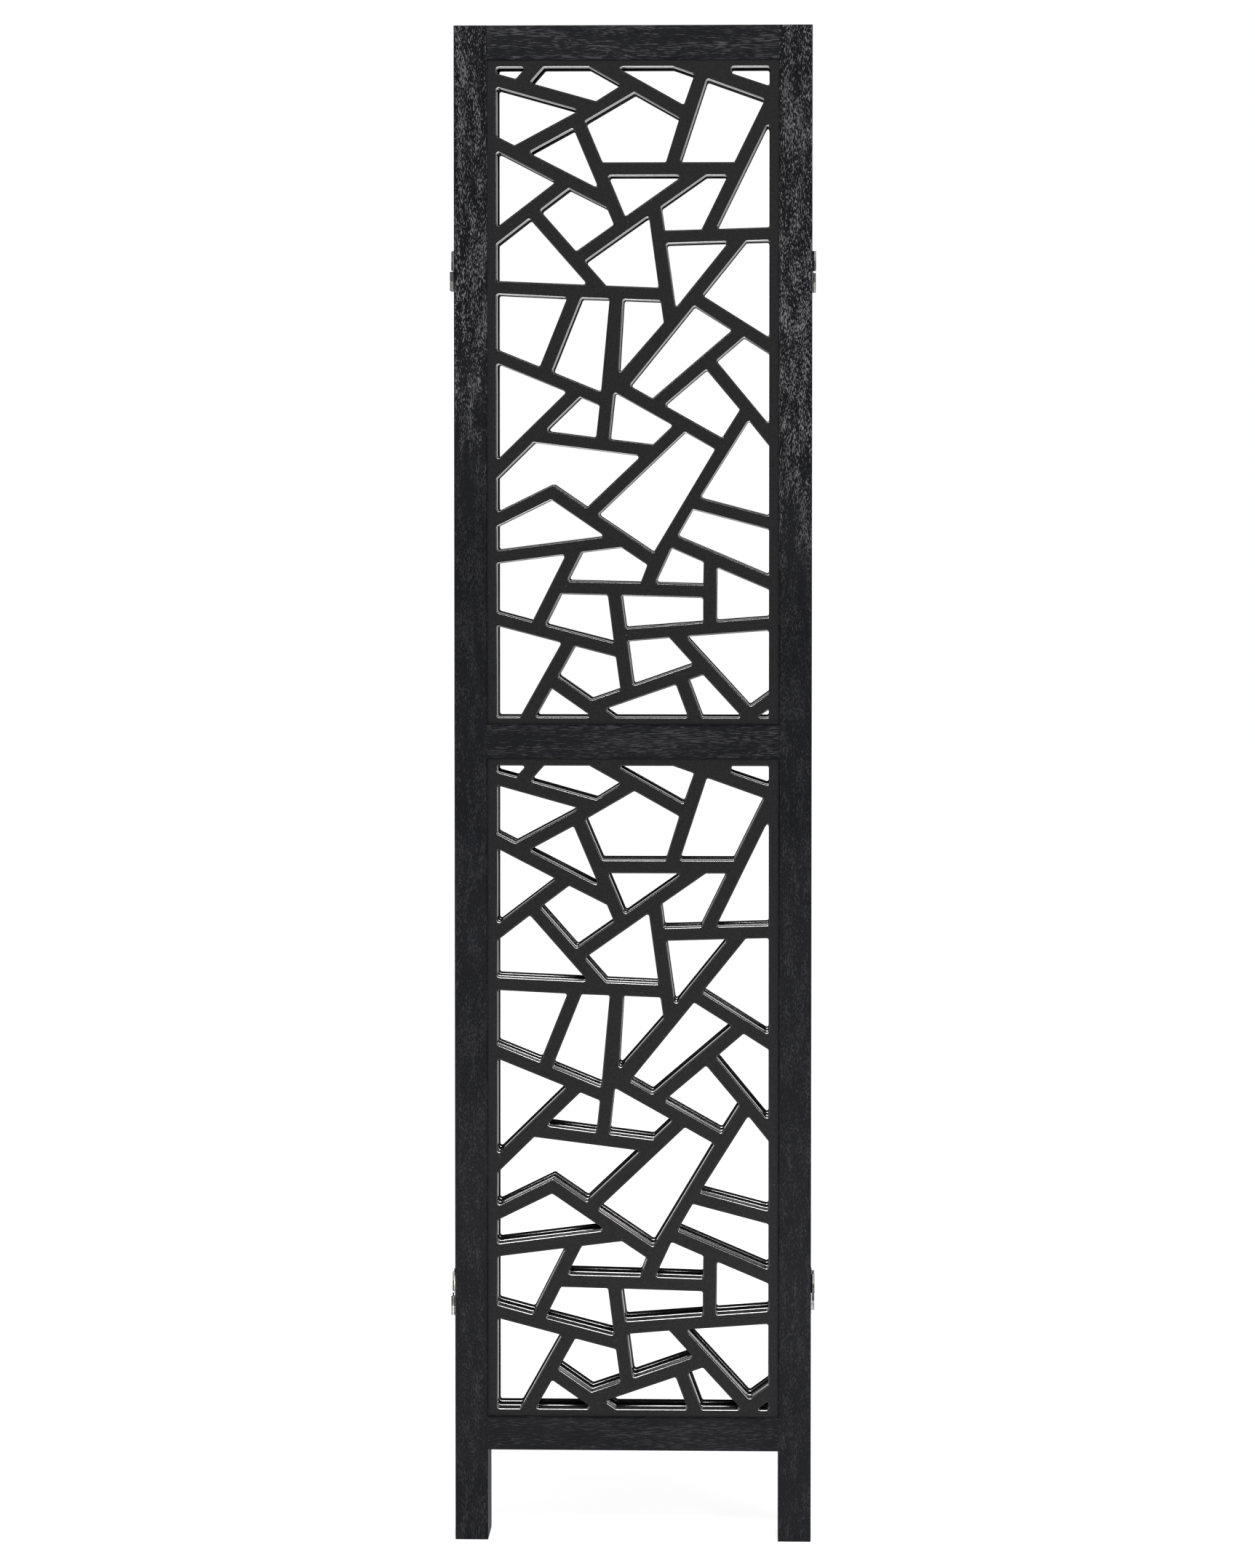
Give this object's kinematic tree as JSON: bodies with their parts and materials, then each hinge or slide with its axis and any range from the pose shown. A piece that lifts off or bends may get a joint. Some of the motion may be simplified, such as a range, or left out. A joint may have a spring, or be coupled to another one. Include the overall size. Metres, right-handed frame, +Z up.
{
  "type": "folding screen room divider",
  "caption": "Free-standing folding screen: stile-and-rail panels with pierced crackle fretwork boards, joined by two-way hinges, stored folded flat.",
  "frame": {"origin": "on the floor, under the middle of the middle panel, with the screen folded flat", "axes": "+Z up along the stiles, +X to the right seen from the front panel, +Y from the front panel to the rear panel"},
  "size_m": [0.4086, 0.0686, 1.7],
  "materials": {
    "frame_lacquer": "satin black lacquer over open-pored wood",
    "fretwork_lacquer": "satin black lacquer over smooth board",
    "leaf_steel": "bright plated sheet",
    "link_steel": "bright plated sheet",
    "pin_steel": "drawn wire"
  },
  "bodies": {
    "front_panel": {"front_left_stile": "frame_lacquer", "front_right_stile": "frame_lacquer", "front_bottom_rail": "frame_lacquer", "front_middle_rail": "frame_lacquer", "front_top_rail": "frame_lacquer", "front_lower_board": "fretwork_lacquer", "front_upper_board": "fretwork_lacquer", "left_lower_hinge_front_leaf": "leaf_steel", "left_upper_hinge_front_leaf": "leaf_steel", "left_lower_hinge_low_link": "link_steel", "left_upper_hinge_low_link": "link_steel", "front_hinge_pins": "pin_steel"},
    "middle_panel": {"middle_left_stile": "frame_lacquer", "middle_right_stile": "frame_lacquer", "middle_bottom_rail": "frame_lacquer", "middle_middle_rail": "frame_lacquer", "middle_top_rail": "frame_lacquer", "middle_lower_board": "fretwork_lacquer", "middle_upper_board": "fretwork_lacquer", "left_lower_hinge_middle_leaf": "leaf_steel", "left_upper_hinge_middle_leaf": "leaf_steel", "right_lower_hinge_middle_leaf": "leaf_steel", "right_upper_hinge_middle_leaf": "leaf_steel", "left_lower_hinge_high_link": "link_steel", "left_upper_hinge_high_link": "link_steel", "right_lower_hinge_high_link": "link_steel", "right_upper_hinge_high_link": "link_steel", "middle_hinge_pins": "pin_steel"},
    "rear_panel": {"rear_left_stile": "frame_lacquer", "rear_right_stile": "frame_lacquer", "rear_bottom_rail": "frame_lacquer", "rear_middle_rail": "frame_lacquer", "rear_top_rail": "frame_lacquer", "rear_lower_board": "fretwork_lacquer", "rear_upper_board": "fretwork_lacquer", "right_lower_hinge_rear_leaf": "leaf_steel", "right_upper_hinge_rear_leaf": "leaf_steel", "right_lower_hinge_low_link": "link_steel", "right_upper_hinge_low_link": "link_steel", "rear_hinge_pins": "pin_steel"}
  },
  "joints": [
    {"name": "front_panel_fold", "type": "hinge", "parent": "middle_panel", "child": "front_panel", "pos_m": [-0.20225, -0.01075, 0], "axis": [0, 0, -1], "range_deg": [0, 180]},
    {"name": "rear_panel_fold", "type": "hinge", "parent": "middle_panel", "child": "rear_panel", "pos_m": [0.20225, 0.01075, 0], "axis": [0, 0, -1], "range_deg": [0, 180]}
  ]
}
